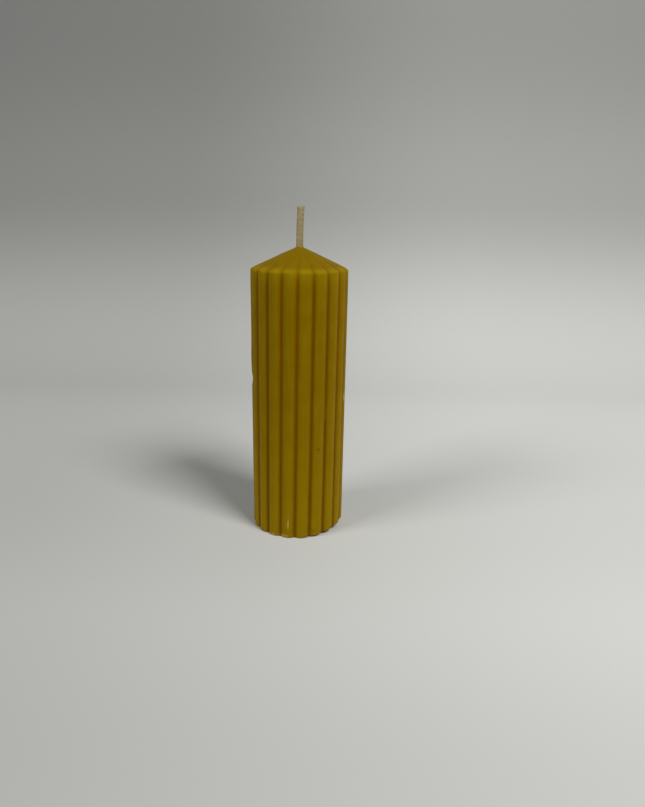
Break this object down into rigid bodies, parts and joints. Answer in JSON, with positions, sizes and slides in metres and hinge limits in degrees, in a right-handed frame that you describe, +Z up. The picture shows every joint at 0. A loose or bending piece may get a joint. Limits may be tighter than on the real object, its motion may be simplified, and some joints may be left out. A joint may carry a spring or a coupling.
{
  "type": "ribbed pillar candle",
  "caption": "Free-standing beeswax pillar candle with a ribbed wall, a low fluted cone on top, a flat foot and a square-braided cotton wick.",
  "frame": {"origin": "centre of the foot, on the plane that the candle stands on", "axes": "+Z up along the wick; half way up the wall a groove faces -Y and the crest of a rib faces +Y"},
  "size_m": [0.0498, 0.0498, 0.17],
  "materials": {
    "beeswax": "satin, slightly translucent cast wax",
    "primed_cotton": "braided cotton stiffened with wax"
  },
  "bodies": {
    "root": {"wax_body": "beeswax", "wick": "primed_cotton"}
  },
  "joints": []
}
